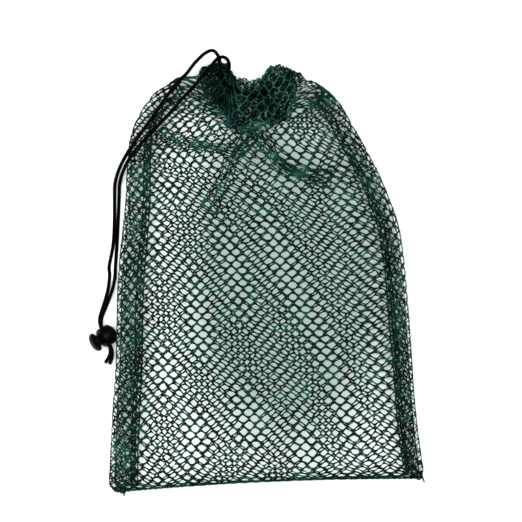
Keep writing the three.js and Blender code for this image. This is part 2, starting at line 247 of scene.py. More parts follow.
netYarn = yarnMaterial("greenNetYarn")
# copies of the net's yarn with painted shade and painted light
seamYarnPaintedShade = yarnMaterial("greenSeamYarnPaintedShade")
backYarn = yarnMaterial("greenBackYarnPaintedShade")
paintedShadeYarn = yarnMaterial("greenYarnPaintedShade")
hemYarnPaintedLight = yarnMaterial("greenHemYarnPaintedLight", shade=yarnLook["hemPaintedShade"])
edgeYarnPaintedLight = yarnMaterial("greenEdgeYarnPaintedLight")
braid = cordMaterial()
nylon = lockMaterial()
print("materials made")


def smoothTable(values, at):
    # a smooth curve through a short table, read at fractional rows
    values = np.asarray(values, float)
    last = len(values) - 1
    at = np.clip(np.asarray(at, float), 0, last)
    i = np.minimum(at.astype(int), last - 1)
    t = (at - i).reshape(at.shape + (1,) * (values.ndim - 1))
    a, b, c, d = (values[np.clip(i + k, 0, last)] for k in (-1, 0, 1, 2))
    square, cube = 2 * a - 5 * b + 4 * c - d, 3 * b - a - 3 * c + d
    return 0.5 * (2 * b + (c - a) * t + square * t ** 2 + cube * t ** 3)


def evenSteps(points, count):
    # a line cut into equal steps, and its length
    run = np.concatenate([[0], np.cumsum(np.linalg.norm(np.diff(points, axis=0), axis=1))])
    at = np.linspace(0, run[-1], count)
    return np.stack([np.interp(at, run, points[:, k]) for k in range(3)], axis=1), run[-1]


def evenPath(points, count, fine=40):
    return evenSteps(smoothTable(points, np.linspace(0, len(points) - 1, fine * len(points))), count)


# the cord's two free ends, from the hem through the lock to their cut tips (mm)
cordSet = {
    "diameter": 2.85, "sides": 12, "steps": 220,
    # squeezed thinner inside the lock
    "pinched": 0.88, "pinchY": (-61, -57, -38, -34),
    "over": [
        (-27.6, 151, 29.7), (-31.2, 152.6, 30.8), (-34.6, 157, 32.4), (-36.4, 163.4, 33.6),
        (-36.8, 170, 34), (-38, 175.8, 33.5), (-42.4, 180.6, 32.5), (-49, 178.2, 32), (-57, 170.4, 33),
        (-63.4, 162, 35), (-69.4, 156, 36), (-78.6, 144.4, 37), (-87.4, 131.6, 36.5),
        (-96.2, 119.6, 33.4), (-104.8, 108, 28), (-112, 97.6, 21), (-117.8, 87, 13.5), (-121.4, 76, 7),
        (-122, 64, 3), (-122.2, 46, 1.5), (-123.2, 27, 1.5), (-126.4, 9, 1.5), (-126.1, 3.45, 1.72),
        (-126.28, -2.08, 2.36), (-126.92, -7.51, 3.38), (-127.95, -12.81, 4.73), (-129.28, -17.98, 6.31),
        (-130.79, -23.04, 8.04), (-132.33, -28.1, 9.78), (-133.54, -33.34, 11.21),
        (-133.13, -38.77, 11.18), (-130.88, -44.06, 9.46), (-128.32, -50.05, 7.53),
        (-125.92, -55.69, 5.7), (-125.46, -60.26, 3.96), (-127.01, -64.66, 2.27), (-129.6, -68.8, 1.45)],
    "under": [
        (-36.66, 161, 26.84), (-32.9, 161.4, 29.2), (-30.2, 164.6, 32.2), (-29.4, 169.2, 35.2),
        (-31, 173.2, 37.9), (-34.8, 175, 39.7), (-39.4, 172.8, 40.4), (-44, 167.4, 40.1),
        (-51, 159.4, 38.6), (-58.6, 150.4, 38), (-67.4, 141.2, 37.6), (-77, 130, 37.2),
        (-85, 121.6, 36.6), (-93, 113.6, 34.4), (-101.4, 104.6, 30), (-108.4, 96, 24), (-114, 86.6, 15),
        (-117.6, 76, 6.8), (-118.4, 64, 2.2), (-119.2, 46, 1.5), (-120.2, 27, 1.5), (-121.4, 9, 1.5),
        (-121.47, 3.33, 2.31), (-122.08, -2.24, 3.46), (-123.16, -7.68, 4.91), (-124.64, -12.95, 6.59),
        (-126.41, -18.08, 8.43), (-128.36, -23.12, 10.33), (-130.34, -28.17, 12.18),
        (-131.98, -33.44, 13.7), (-131.81, -39.02, 13.7), (-129.56, -44.31, 11.99), (-127, -50.3, 10.05),
        (-124.59, -55.95, 8.22), (-123.68, -60.52, 6.55), (-124.29, -65.13, 4.78), (-126, -69.6, 3.4)],
}


def cordTube(name, route):
    path, length = evenPath(np.array(route) * mm, cordSet["steps"] + 1)
    sides, radius = cordSet["sides"], cordSet["diameter"] * mm / 2
    bm = bmesh.new()
    bmesh.ops.create_cone(bm, cap_ends=True, segments=sides, radius1=radius, radius2=radius, depth=1)
    longEdges = [e for e in bm.edges if abs(e.verts[0].co.z - e.verts[1].co.z) > 0.5]
    bmesh.ops.subdivide_edges(bm, edges=longEdges, cuts=cordSet["steps"] - 1, use_grid_fill=True)
    uvLayer = bm.loops.layers.uv.new("cordUV")
    for face in bm.faces:
        around = [math.atan2(loop.vert.co.y, loop.vert.co.x) / (2 * math.pi) % 1 for loop in face.loops]
        wraps = max(around) - min(around) > 0.5
        for loop, turn in zip(face.loops, around):
            turn += 1 if wraps and turn < 0.5 else 0
            loop[uvLayer].uv = (turn * math.pi, (loop.vert.co.z + 0.5) * length / (2 * radius))
    tangent = np.gradient(path, axis=0)
    tangent /= np.linalg.norm(tangent, axis=1)[:, None]
    side = np.cross(tangent, (0, 0, 1))
    side /= np.linalg.norm(side, axis=1)[:, None]
    lift = np.cross(side, tangent)
    pinch = np.interp(path[:, 1] / mm, cordSet["pinchY"], [1, cordSet["pinched"], cordSet["pinched"], 1])
    for vert in bm.verts:
        k = round((vert.co.z + 0.5) * cordSet["steps"])
        vert.co = Vector(path[k] + (side[k] * vert.co.x + lift[k] * vert.co.y) * pinch[k])
    bmesh.ops.recalc_face_normals(bm, faces=bm.faces)
    obj = meshFrom(name, bm)
    obj.data.materials.append(braid)
    shadeSmooth(obj)
    return obj, path, length


cordOver, overPath, overLength = cordTube("cordOver", cordSet["over"])
cordUnder, underPath, underLength = cordTube("cordUnder", cordSet["under"])
print("cord ends", round(overLength, 4), round(underLength, 4))

# the lying sack, from its foot up (mm)
sackForm = {
    # where each cross section meets the outline, how far its middle hangs back, its height and its roundness
    "leftX": [-121, -126, -125.4, -124, -122.4, -120.4, -119.7, -119.1, -117.7, -115, -112.3, -111, -107,
              -92, -70],
    "leftY": [-172.5, -166, -153, -126, -99, -72, -45, -18, 9, 36, 63, 90, 118, 144.5, 160],
    "rightX": [122.5, 126, 124.7, 121, 118.3, 116.6, 114.6, 112.5, 110, 105.5, 96, 84.5, 71, 56.5, 40],
    "rightY": [-161.5, -156, -146, -119, -92, -65, -38, -11, 16, 42.5, 69, 94, 118, 142, 156],
    "midY": [-164, -158, -147, -121, -95, -69, -43, -17, 9, 33, 56, 76, 93, 105, 113],
    "rise": [6, 10, 16, 23, 28, 30, 31, 32, 32, 32, 32, 32, 33, 34, 35],
    "roundness": [2.6, 2.5, 2.2, 2.1, 2.1, 2.1, 2.1, 2.1, 2.1, 2.1, 2.1, 2.0, 1.9, 1.8, 1.7],
    "underside": 0.08, "floor": 1.05,
    # the gathered hem: its middle and half size across and up, half its tunnel's depth, and from where and
    # over how many rows it turns in at the rim
    "hemMiddle": (-12, 18), "hemHalf": (37, 9.5), "tunnel": 2.0, "turnFrom": 0.8, "turnOver": 0.4,
    # the drawn rim from left to right: a high left end, a dip and a lower right end
    "rimX": [-52, -44, -36, -31, -27, -17, -8, -3.4, 1, 5.4, 12, 17.4, 24],
    "rimY": [164.5, 168, 171, 167, 158.5, 156, 155.5, 157, 164, 168, 167.5, 165, 161],
    "lowX": [-49, -46, -41, -33, -27, -17, -8, 1, 8, 13, 18, 22, 25],
    "lowY": [161, 150, 139, 131, 119.5, 119.5, 124, 123, 123, 125, 134, 148, 158],
    # the cloth's flat width, how much of it the hem and the shoulders take up, from which row it gathers,
    # how high its pleats stand and how tightly they close
    "width": 265, "squeeze": 0.82, "narrow": 0.9, "gatherFrom": 11.0, "pleatLift": 3, "tightest": 0.24,
}
lastSection = len(sackForm["leftX"]) - 1
mouthRow = lastSection + 1
rimRow = mouthRow + 1
endRow = rimRow + 1
# pleats across the front: share of the cloth in each, and share of the drawn hem that it shows;
# at the back, and inside the hem from a little below the rim, they are even
pleats = {
    "cloth": [0.13, 0.12, 0.13, 0.11, 0.20, 0.12, 0.10, 0.09],
    "shown": [0.09, 0.08, 0.07, 0.06, 0.46, 0.10, 0.08, 0.06],
    "even": [0.12, 0.13, 0.11, 0.14, 0.13, 0.12, 0.13, 0.12],
    "evenBelow": 0.1, "evenOver": 0.4,
}
# the grid that a cloth is laid out on: the step between rows, rows in the hem, points across, points round a
# section, and the longest way up it (mm)
clothGrid = {"rowStep": 0.125, "hemRows": 49, "across": 361, "round": 721, "reach": 470}


def halfOval(roundness, count):
    # the upper half of a rounded oval from left to right
    angle = np.pi * (1 - np.linspace(0, 1, count))
    power = 2 / roundness
    across = np.sign(np.cos(angle)) * np.abs(np.cos(angle)) ** power
    return across, np.abs(np.sin(angle)) ** power


def ringPoints(row, back):
    # one half of a cross section, left to right, over the front or underneath
    roundness = float(smoothTable(sackForm["roundness"], min(row, lastSection)))
    across, up = halfOval(roundness, clothGrid["round"])
    way = -1 if back else 1
    up = up * way
    body = None
    if row < mouthRow:
        lx, ly, rx, ry, midY, rise = (
            float(smoothTable(sackForm[k], min(row, lastSection)))
            for k in ("leftX", "leftY", "rightX", "rightY", "midY", "rise"))
        hang = (ly + ry) / 2 - midY
        under = sackForm["underside"] / 2
        body = np.stack([
            (lx + rx) / 2 + (rx - lx) / 2 * across,
            (ly + ry) / 2 + (ry - ly) / 2 * across - hang * (1 - across ** 2),
            np.maximum(0, rise * (0.5 - under + (0.5 + under) * up))], axis=1)
        if row <= lastSection:
            return body
    climb = min(max(row - mouthRow, 0), 2)
    turned = unit((climb - sackForm["turnFrom"]) / sackForm["turnOver"])
    outwards = sackForm["tunnel"] * math.cos(math.pi * turned)
    middleX, middleZ = sackForm["hemMiddle"]
    x = sackForm["hemHalf"][0] * across
    z = sackForm["hemHalf"][1] * up
    rim = np.interp(x + middleX, sackForm["rimX"], sackForm["rimY"])
    low = np.interp(x + middleX, sackForm["lowX"], sackForm["lowY"])
    y = rim - (rim - low) * abs(1 - climb)
    hem = np.stack([x, y, z], axis=1)
    tangent = np.gradient(hem, axis=0)
    facing = np.stack([-tangent[:, 2], 0 * x, tangent[:, 0]], axis=1)
    facing /= np.linalg.norm(facing, axis=1)[:, None]
    hem += facing * outwards * way
    hem += np.array([middleX, 0, middleZ])
    if body is None:
        return hem
    share = row - lastSection
    share = ease(share) * 0.5 + share * 0.5
    return body + (hem - body) * share


def gatherTable(steepest=2.0, leans=201, points=721):
    # how much shorter a cloth gets as its waves lean further
    lean = np.linspace(0, steepest, leans)
    wave = np.sin(np.linspace(0, 2 * np.pi, points)[:-1])
    return lean, np.cos(lean[:, None] * wave[None]).mean(axis=1)


def rowMarks(base, rows, reach):
    # which row lies at each millimetre up every column, and the longest column
    columns = base.shape[1]
    steps = np.linalg.norm(np.diff(base, axis=0), axis=2)
    run = np.concatenate([np.zeros((1, columns)), np.cumsum(steps, axis=0)])
    marks = np.arange(0.0, reach)
    return np.stack([np.interp(marks, run[:, j], rows) for j in range(columns)], axis=1), run[-1].max()


def makeCloth(back):
    # the sack's wall as a grid of rows by shares of the width, with its gathers
    rows = np.concatenate([np.arange(0, lastSection, clothGrid["rowStep"]),
                           np.linspace(lastSection, endRow, clothGrid["hemRows"])])
    count = clothGrid["across"]
    rings = [evenSteps(ringPoints(row, back), count) for row in rows]
    base = np.array([points for points, _ in rings])
    wide = np.array([length for _, length in rings])
    normal = np.cross(np.gradient(base, axis=1), np.gradient(base, rows, axis=0))
    normal /= np.maximum(np.linalg.norm(normal, axis=2), 1e-9)[..., None]
    normal *= -1 if back else 1
    lean, shrink = gatherTable()
    share = np.linspace(0, 1, count)
    rowAt, length = rowMarks(base, rows, clothGrid["reach"])
    flat = sackForm["width"]
    span = flat * (np.minimum(wide, flat) / flat) ** sackForm["narrow"]
    drawn = np.full(len(rows), flat * sackForm["squeeze"])
    grid = np.empty_like(base)
    for i, row in enumerate(rows):
        even = 1.0 if back else unit((row - rimRow + pleats["evenBelow"]) / pleats["evenOver"])
        cloth, shown = (np.array(pleats[k]) * (1 - even) + np.array(pleats["even"]) * even
                        for k in ("cloth", "shown"))
        cloth, shown = cloth / cloth.sum(), shown / shown.sum()
        edges = np.concatenate([[0], np.cumsum(cloth)])
        which = np.clip(np.searchsorted(edges, share, side="right") - 1, 0, len(cloth) - 1)
        inside = (share - edges[which]) / cloth[which]
        gather = ease(unit((row - sackForm["gatherFrom"]) / (mouthRow - sackForm["gatherFrom"])))
        used = wide[i] + gather * max((span if row < mouthRow else drawn)[i] - wide[i], 0)
        seen = cloth + (shown - cloth) * gather
        ratio = np.clip(wide[i] * seen / (used * cloth), sackForm["tightest"], 1)
        slope = np.interp(-ratio, -shrink, lean)[which] * np.sin(2 * np.pi * inside)
        step = np.gradient(share) * used
        along = np.concatenate([[0], np.cumsum((np.cos(slope) * step)[1:])])
        along *= wide[i] / along[-1]
        lift = np.concatenate([[0], np.cumsum((np.sin(slope) * step)[1:])])
        lift = sackForm["pleatLift"] * np.tanh(np.maximum(lift, 0) / sackForm["pleatLift"])
        at = along / wide[i]
        place = np.stack([np.interp(at, share, base[i, :, k]) for k in range(3)], axis=1)
        face = np.stack([np.interp(at, share, normal[i, :, k]) for k in range(3)], axis=1)
        grid[i] = place + face * lift[:, None]
    grid[..., 2] = np.maximum(grid[..., 2], sackForm["floor"])
    return {"rows": rows, "grid": grid, "rowAt": rowAt, "span": span, "drawn": drawn, "length": length}


def blendAt(table, i, t, j, s):
    low = table[i, j] * (1 - s) + table[i, j + 1] * s
    high = table[i + 1, j] * (1 - s) + table[i + 1, j + 1] * s
    return low * (1 - t) + high * t


def columnAt(cloth, share):
    last = cloth["grid"].shape[1] - 1
    place = np.clip(share, 0, 1) * last
    j = np.clip(place.astype(int), 0, last - 1)
    return j, place - j


def rowOn(cloth, share, along):
    # which row of the cloth lies at a length along it
    j, s = columnAt(cloth, share)
    along = np.clip(along, 0, len(cloth["rowAt"]) - 1.001)
    i = along.astype(int)
    return blendAt(cloth["rowAt"], i, along - i, j, s)


def shareOn(cloth, across, along):
    # which share of the width lies at a length from the middle line
    share = across / sackForm["width"] + 0.5
    for _ in range(3):
        share = across / np.interp(rowOn(cloth, share, along), cloth["rows"], cloth["span"]) + 0.5
    return share


def onCloth(cloth, share, along):
    # from a place on the cloth to the lying sack (mm)
    rows = cloth["rows"]
    row = rowOn(cloth, share, along)
    i = np.clip(np.searchsorted(rows, row, side="right") - 1, 0, len(rows) - 2)
    t = (row - rows[i]) / (rows[i + 1] - rows[i])
    j, s = columnAt(cloth, share)
    return blendAt(cloth["grid"], i, t[:, None], j, s[:, None])


# the cord inside the hem: in at the front, round both ends and under, and out at the front again (mm), with
# the shares of the front where it goes in and comes out
hemCordSet = {
    "middle": (-11, 19.5), "half": (29, 11), "roundness": 2.8, "saddle": 158, "rise": 13, "drop": 13,
    "endShare": 0.5, "from": 6.5 / 24, "to": 2.5 / 24, "round": 721, "steps": 240, "points": 40,
}


def hemCordRoute():
    across, up = halfOval(hemCordSet["roundness"], hemCordSet["round"])
    halfX, halfZ = hemCordSet["half"]
    steps = hemCordSet["steps"]
    front, back = (evenSteps(np.stack([halfX * across, 0 * up, halfZ * up * way], axis=1), steps + 1)[0]
                   for way in (1, -1))
    ring = np.concatenate([front[round(steps * hemCordSet["from"]):], back[-2:0:-1],
                           front[:round(steps * hemCordSet["to"]) + 1]])
    reach = ring[:, 0] / halfX
    drop = hemCordSet["drop"] * (1 - (1 - hemCordSet["endShare"]) * reach ** 2)
    ring[:, 1] = hemCordSet["saddle"] + (hemCordSet["rise"] * reach ** 2 - drop)
    ring += np.array([hemCordSet["middle"][0], 0, hemCordSet["middle"][1]])
    return evenSteps(ring, hemCordSet["points"])[0]


hemCord, hemPath, hemLength = cordTube("hemCord", hemCordRoute())
print("cord in the hem", np.round(hemPath[[0, -1]] / mm, 1), round(hemLength, 4))

frontCloth = makeCloth(False)
backCloth = makeCloth(True)
print("cloth length", round(frontCloth["length"], 1), round(backCloth["length"], 1))

# creases that fall across the front below the hem: a line (mm), how far the net is drawn in on each side and
# how tightly, how high it rises, and how wide a strip of net lies doubled inside
folds = [
    {"line": [(-86, 114), (-70, 108), (-53, 105), (-25, 102), (-12, 116)],
     "width": 12, "draw": 0.84, "height": 5, "cloth": 44},
    {"line": [(-8, 120), (2, 102), (13, 89), (31, 81.5), (52, 79)],
     "width": 12, "draw": 0.84, "height": 5, "cloth": 40},
    {"line": [(-9, 118), (-21, 100), (-32, 84), (-40, 68), (-46, 52)],
     "width": 9, "draw": 0.6, "height": 3, "cloth": 20},
]
foldSet = {
    "points": 60, "ends": 0.02,
    # the doubled strip: its drawn width, how much wider it opens at its ends and its height (mm)
    "width": 6.5, "open": 1.2, "lift": 2.0, "yarn": 1.4, "steps": 120, "seed": 7.0,
}


def foldOver(points):
    # draws the front's net together along each crease
    last = foldSet["points"] - 1
    for fold in folds:
        corners = np.array(fold["line"], float)
        line = smoothTable(corners, np.linspace(0, len(corners) - 1, foldSet["points"]))
        gap = points[:, None, :2] - line[None]
        far = np.linalg.norm(gap, axis=2)
        nearest = far.argmin(axis=1)
        distance = far[np.arange(len(points)), nearest]
        across = gap[np.arange(len(points)), nearest]
        ends = np.sin(np.pi * np.clip(nearest / last, foldSet["ends"], 1 - foldSet["ends"])) ** 0.5
        pull = ends * np.exp(-(distance / fold["width"]) ** 2)
        points[:, :2] -= across * (fold["draw"] * pull)[:, None]
        points[:, 2] += fold["height"] * pull
    return points


# the knitted net: six-sided holes with short joints (mm)
netKnit = {
    "pitch": 8.7, "rowStep": 5.12, "joint": 1.8, "yarn": 2.1, "backYarn": 1.9, "thin": 0.46,
    "drift": 1.0, "driftSize": 80, "jitter": 0.22, "seed": 7,
    # how much larger the sheet is made before it is trimmed, what share of half its length lies below the
    # fold, and how near points are joined and cut
    "spare": 1.5, "below": 0.4, "weld": 0.2, "cut": 0.01,
    # how much the cells close up at the fold along the foot, and over what length (mm)
    "foot": 0.72, "footLength": 20,
    # the front's two strand directions, one cell each (mm)
    "frontUp": (4.09, 4.97), "frontDown": (4.7, -4.78),
    # the back's strands: spacing and slope up to the right, spacing and slope down, which fans from left to
    # right as far as a reach (mm), settled in so many rounds
    "backUp": (9.57, 0.869), "backDown": (9.84, 1.06), "backFan": 0.00307, "fanReach": 250, "rounds": 40,
    # between which heights above the foot the back's cells fall in with the front's (mm)
    "fallIn": (235, 300),
    # the hem's outer face takes the place of the front past this share of the width and above this row
    "frontEnds": (0.88, 13.9), "backSeed": 3.0,
}
# the same drift on each run
noise.seed_set(netKnit["seed"])


def cellsAt(points):
    # how many cells up each strand direction a place on the square net lies
    up, across = points[:, 1] / (2 * netKnit["rowStep"]), points[:, 0] / netKnit["pitch"]
    return np.stack([up + across, up - across], axis=1)


def pullFront(points):
    cells = cellsAt(points)
    return cells[:, :1] * np.array(netKnit["frontUp"]) - cells[:, 1:] * np.array(netKnit["frontDown"])


def pullBack(points):
    # the back's cells run ahead of the front's, and fall in with them below the hem
    cells = cellsAt(points)
    steps = np.array([netKnit["frontUp"], [-s for s in netKnit["frontDown"]]])
    upSpace, upSlope = netKnit["backUp"]
    downSpace, downSlope = netKnit["backDown"]
    low, high = netKnit["fallIn"]
    widest = netKnit["fanReach"]

    def ahead(place):
        t = np.clip((place[:, 1] - low) / (high - low), 0, 1)
        x = np.clip(place[:, 0], -widest, widest) * (1 - 3 * t ** 2 + 2 * t ** 3)
        y = np.minimum(place[:, 1], low) + (high - low) * (t - t ** 3 + t ** 4 / 2)
        second = (y - upSlope * x) / upSpace
        first = ((upSlope + downSlope) * x - netKnit["backFan"] / 2 * x ** 2 + upSpace * second) / downSpace
        return np.stack([first, second], axis=1) - np.stack([x, y], axis=1) @ np.linalg.inv(steps)

    end = ahead(np.array([[0.0, high]]))
    place = cells @ steps
    for _ in range(netKnit["rounds"]):
        place = (cells - ahead(place) + end - np.round(end)) @ steps
    return place


def asKnitted(points):
    return points


def flatNet(width, length, pull):
    # a flat sheet of net from the fold up, pulled out of square as it lies
    pitch, step = netKnit["pitch"], netKnit["rowStep"]
    across = int(width * netKnit["spare"] / pitch) + 2
    pairs = int(length * netKnit["spare"] / (2 * step)) + 2
    bm = bmesh.new()
    bmesh.ops.create_circle(bm, cap_ends=True, segments=6, radius=1)
    reach = step - netKnit["joint"]
    for vert in bm.verts:
        height = abs(vert.co.y)
        vert.co.x *= pitch / 2 / math.sin(math.radians(60))
        vert.co.y = math.copysign(netKnit["joint"] / 2 + reach * max(2 * height - 1, 0), vert.co.y)

    def repeat(shift, times):
        cells = bm.verts[:] + bm.edges[:] + bm.faces[:]
        bmesh.ops.spin(bm, geom=cells, cent=(0, 0, 0), axis=(0, 0, 1), dvec=shift, angle=0,
                       steps=times, use_duplicate=True)

    repeat((pitch, 0, 0), across)
    repeat((pitch / 2, step, 0), 1)
    repeat((0, 2 * step, 0), pairs)
    bmesh.ops.remove_doubles(bm, verts=bm.verts, dist=netKnit["weld"])
    bmesh.ops.translate(bm, verts=bm.verts, vec=(-across * pitch / 2, -pairs * step * netKnit["below"], 0))
    flat = np.array([v.co[:2] for v in bm.verts])
    for vert, place in zip(bm.verts, pull(flat)):
        vert.co = (*place, 0)
    return bm


def trim(bm, low, high):
    # cuts the sheet to a rectangle
    for corner, normal in ((low, (-1, 0, 0)), (low, (0, -1, 0)), (high, (1, 0, 0)), (high, (0, 1, 0))):
        bmesh.ops.bisect_plane(bm, geom=bm.verts[:] + bm.edges[:] + bm.faces[:], dist=netKnit["cut"],
                               plane_co=(*corner, 0), plane_no=normal, clear_outer=True)


def knit(name, bm, place, yarn, material):
    # splits each strand, lays the sheet out and gives the strands their thickness
    bmesh.ops.bisect_edges(bm, edges=bm.edges, cuts=1)
    obj = meshFrom(name, bm)
    mesh = obj.data
    joints = np.zeros(len(mesh.vertices), int)
    for edge in mesh.edges:
        joints[edge.vertices[0]] += 1
        joints[edge.vertices[1]] += 1
    group = obj.vertex_groups.new(name="joints")
    group.add([int(i) for i in np.nonzero(joints > 2)[0]], 1, "REPLACE")
    writePoints(mesh, place(readPoints(mesh)) * mm)
    wire = obj.modifiers.new("strands", "WIREFRAME")
    wire.thickness = yarn * mm
    wire.use_even_offset = False
    wire.use_boundary = True
    wire.vertex_group = "joints"
    wire.thickness_vertex_group = netKnit["thin"]
    bakeModifiers(obj)
    obj.vertex_groups.clear()
    obj.data.materials.clear()
    obj.data.materials.append(material)
    shadeSmooth(obj)
    print(name, "triangles", sum(len(p.vertices) - 2 for p in obj.data.polygons))
    return obj


def drifted(points, seed):
    # slow drift of the loose net, so that the two layers cross in uneven rosettes
    size = netKnit["driftSize"]
    shift = np.array([noise.noise_vector(Vector((p[0] / size, p[1] / size, seed))) for p in points])
    rng = np.random.default_rng(netKnit["seed"])
    jitter = rng.normal(0, netKnit["jitter"], (len(points), 2))
    return points[:, :2] + shift[:, :2] * netKnit["drift"] + jitter


def aboveFloor(points):
    points[:, 2] = np.maximum(points[:, 2], sackForm["floor"])
    return points


def netPiece(name, cloth, pull, low, high, yarn, material, fold=False, foot=True, seed=0.0, without=None):
    # the net between two rows of a cloth, without the cells past a share of the width and above a row
    half = sackForm["width"] / 2
    bm = flatNet(sackForm["width"], cloth["length"], pull)
    trim(bm, (-half, 0), (half, cloth["length"]))
    middles = np.array([f.calc_center_median()[:2] for f in bm.faces])
    shares = shareOn(cloth, middles[:, 0], middles[:, 1])
    rows = rowOn(cloth, shares, middles[:, 1])
    kept = (shares >= 0) & (shares <= 1) & (rows >= low) & (rows < high)
    if without:
        kept &= (shares <= without[0]) | (rows <= without[1])
    bmesh.ops.delete(bm, geom=[f for f, keep in zip(bm.faces, kept) if not keep], context="FACES")

    def place(flat):
        loose = drifted(flat, seed)
        if foot:
            loose[:, 1] *= 1 - netKnit["foot"] * np.exp(-loose[:, 1] / netKnit["footLength"])
        points = onCloth(cloth, shareOn(cloth, loose[:, 0], loose[:, 1]), loose[:, 1])
        return aboveFloor(foldOver(points) if fold else points)

    print(name, "cells", len(bm.faces))
    return knit(name, bm, place, yarn, material)


netFront = netPiece("netFront", frontCloth, pullFront, 0, mouthRow, netKnit["yarn"], netYarn, fold=True,
                    without=netKnit["frontEnds"])
# the back net takes the yarn with painted shade, for the shade that the front casts on it
netBack = netPiece("netBack", backCloth, pullBack, 0, mouthRow, netKnit["backYarn"], backYarn,
                   seed=netKnit["backSeed"])
# no cell starts past the hem's end
hemEnd = endRow - 0.01
# the hem's inside and back take the yarn with painted shade
hemInside = netPiece("hemInside", {**frontCloth, "span": frontCloth["drawn"]}, pullFront, mouthRow, hemEnd,
                     netKnit["yarn"], paintedShadeYarn)
hemBack = netPiece("hemBack", {**backCloth, "span": backCloth["drawn"]}, pullBack, mouthRow, hemEnd,
                   netKnit["yarn"], paintedShadeYarn, seed=netKnit["backSeed"])

# the drawn hem's outer face from left to right: rim, lower edge and height of each fold and hollow (mm)
hemFace = {
    "rim": [(-56, 161.5), (-48.6, 167.5), (-39.4, 172.4), (-32.6, 170), (-28, 161), (-24.2, 157.2),
            (-16.2, 158.8), (-8.2, 157.2), (-3.4, 158.4), (0.6, 166), (6.2, 169.6), (13, 168), (20, 165),
            (30, 160.6), (42, 153.6), (53, 146)],
    "low": [(-58, 150), (-52, 140), (-43.4, 136), (-36.2, 135.6), (-32.2, 134), (-29, 118), (-20.2, 117.6),
            (-10.6, 123.6), (-1.8, 122), (6.5, 122.5), (14, 128), (21, 134), (28, 137), (36, 137),
            (45, 134.5), (55, 130)],
    "top": [19, 25, 31, 33, 27, 32, 37, 38, 34, 36, 35, 30, 25, 22, 20, 19],
    # from the lower edge over the rim and in again: share of the way up, then drops behind and below the rim
    "up": [0, 0.3, 0.6, 0.88, 1, 1], "inwards": [0, 0, 0, 0, 0, 6], "under": [1, -0.5, -1.5, 0, 5, 10],
    "lowest": 2, "lastRow": 4.9,
    # the cells lie stretched here
    "yarn": 1.5, "stretch": 1.22, "seed": 5.0,
    # rows and points across its grid, finer points to measure by, and the longest way up it (mm)
    "rows": 61, "across": 241, "fine": 4, "reach": 90,
}


def makeHemFace():
    rim, low, top = (np.array(hemFace[k], float) for k in ("rim", "low", "top"))
    rings = []
    for up, inwards, under in zip(hemFace["up"], hemFace["inwards"], hemFace["under"]):
        flat = low + (rim - low) * up - np.array([0, inwards])
        rings.append(np.column_stack([flat, np.maximum(top - under, hemFace["lowest"])]))
    rows = np.linspace(0, len(rings) - 1, hemFace["rows"])
    columns = np.linspace(0, len(top) - 1, hemFace["fine"] * hemFace["across"])
    base, wide = zip(*[evenSteps(smoothTable(section, columns), hemFace["across"])
                       for section in smoothTable(np.array(rings), rows)])
    base = np.array(base)
    rowAt, length = rowMarks(base, rows, hemFace["reach"])
    span = np.full(len(rows), np.mean(wide))
    return {"rows": rows, "grid": base, "rowAt": rowAt, "span": span, "length": length}


def stretched(points):
    return points * hemFace["stretch"]


hemCloth = makeHemFace()
print("hem face", round(hemCloth["span"][0], 1), round(hemCloth["length"], 1))
# the hem's outer face takes the yarn with painted light, darkened by painted shade towards its left end
hemFront = netPiece("hemFront", hemCloth, stretched, 0, hemFace["lastRow"], hemFace["yarn"], hemYarnPaintedLight,
                    foot=False, seed=hemFace["seed"])


def frontHeight(flat, lowRow=8, batch=500):
    # the front's height above a place, from the nearest point of its grid
    rows = frontCloth["rows"]
    grid = frontCloth["grid"][(rows > lowRow) & (rows < mouthRow)][::2, ::3].reshape(-1, 3)
    height = np.empty(len(flat))
    for k in range(0, len(flat), batch):
        far = np.linalg.norm(flat[k:k + batch, None] - grid[None, :, :2], axis=2)
        height[k:k + batch] = grid[far.argmin(axis=1), 2]
    return height


def foldStrip(name, fold, seed):
    # the net that lies doubled inside a crease, drawn together along its line
    steps, cloth = foldSet["steps"], fold["cloth"]
    corners = np.array(fold["line"], float)
    line, length = evenPath(np.column_stack([corners, np.zeros(len(corners))]), steps + 1)
    way = np.gradient(line[:, :2], axis=0)
    way /= np.linalg.norm(way, axis=1)[:, None]
    bm = flatNet(cloth * 2, length, asKnitted)
    trim(bm, (-cloth / 2, 0), (cloth / 2, length))

    def place(flat):
        loose = drifted(flat, seed)
        at = np.clip(loose[:, 1] / length, 0, 1) * steps
        marks = np.arange(steps + 1)
        middle = np.stack([np.interp(at, marks, line[:, k]) for k in (0, 1)], axis=1)
        side = np.stack([np.interp(at, marks, w) for w in (way[:, 1], -way[:, 0])], axis=1)
        # narrow at its middle, opening out into the net at both ends
        width = foldSet["width"] * (1 + foldSet["open"] * np.cos(np.pi * at / steps) ** 2)
        spot = middle + side * (loose[:, 0] / cloth * width)[:, None]
        swell = np.cos(np.pi * np.clip(loose[:, 0] / cloth, -0.5, 0.5))
        return np.column_stack([spot, frontHeight(spot) + foldSet["lift"] * swell])

    return knit(name, bm, place, foldSet["yarn"], netYarn)


foldStrips = [foldStrip(f"foldStrip{k + 1}", fold, foldSet["seed"] + k) for k, fold in enumerate(folds)]

# side seams: the net's two edges turned in and sewn down the front
seamSet = {
    # where each seam meets the width (share), how much nearer the side it lies at the foot than at the top,
    # and its ends (mm)
    "left": 0.1, "right": 0.912, "taper": (0.18, 0.36), "from": 5, "to": 322,
    # the turned-in edges: where they start, each layer's depth between front and back, its turn (degrees)
    "inset": 0.026, "cloth": 24, "layers": (0.2, 0.55), "turns": (-6, 9), "yarn": 1.3,
    # the bunched edge along the seam, just above the front
    "cordWidth": 9, "cordYarn": 1.9, "cordLift": -0.03, "spread": 0.013,
    # the overlock thread: its radius, its stitch, how far it wanders and its lift
    "thread": 0.4, "stitch": 2.6, "wander": (0.003, 0.5), "threadLift": -0.048, "seed": 11,
}


